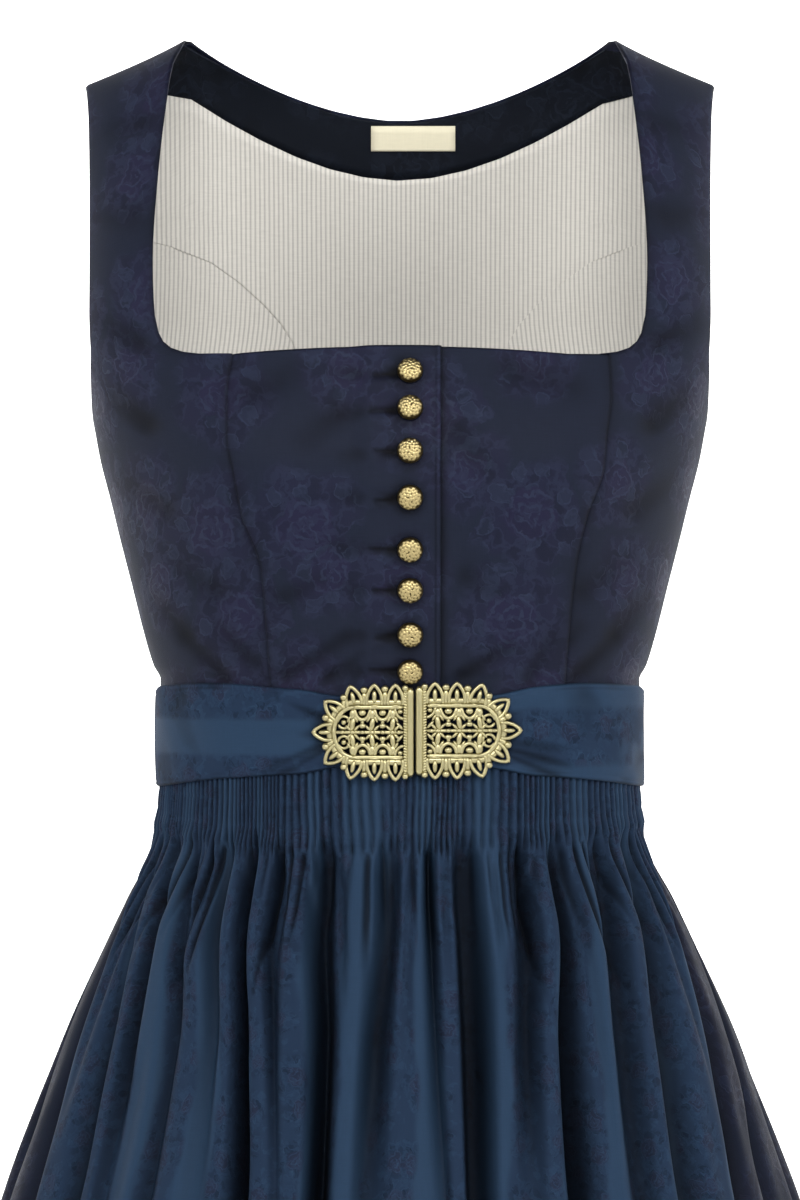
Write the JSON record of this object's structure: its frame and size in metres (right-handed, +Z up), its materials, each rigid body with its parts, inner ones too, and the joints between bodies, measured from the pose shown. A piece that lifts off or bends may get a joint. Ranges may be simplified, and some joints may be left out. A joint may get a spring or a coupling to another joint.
{
  "type": "dirndl",
  "caption": "Sleeveless dirndl with square neckline, buttoned brocade bodice, gathered skirt, smocked damask apron and a belt with a pierced gilt clasp",
  "frame": {"origin": "midway between the two shoulder straps, where the wearer's shoulders hold the dress up", "axes": "+Z up, the front faces -Y, the wearer's right side is -X, millimetres in the source and metres here"},
  "size_m": [0.674, 0.6161, 1.0904],
  "materials": {
    "bodice_brocade": "dark navy tone-on-tone rose brocade",
    "skirt_cloth": "plain dark navy weave",
    "apron_damask": "steel blue satin damask",
    "lining": "pale grey finely striped",
    "facing": "dark navy plain",
    "label": "cream woven, blank",
    "gilt": "antique gilt"
  },
  "bodies": {
    "root": {"front_right": "bodice_brocade", "front_left": "bodice_brocade", "side_front_right": "bodice_brocade", "side_front_left": "bodice_brocade", "back_centre": "bodice_brocade", "back_side_right": "bodice_brocade", "back_side_left": "bodice_brocade", "lining_centre": "lining", "lining_side_right": "lining", "lining_side_left": "lining", "neck_facing": "facing", "label": "label", "button_1": "gilt", "button_2": "gilt", "button_3": "gilt", "button_4": "gilt", "button_5": "gilt", "button_6": "gilt", "button_7": "gilt", "button_8": "gilt", "skirt_front": "skirt_cloth", "skirt_back": "skirt_cloth", "apron": "apron_damask", "belt": "apron_damask", "clasp_right": "gilt", "clasp_left": "gilt"}
  },
  "joints": []
}
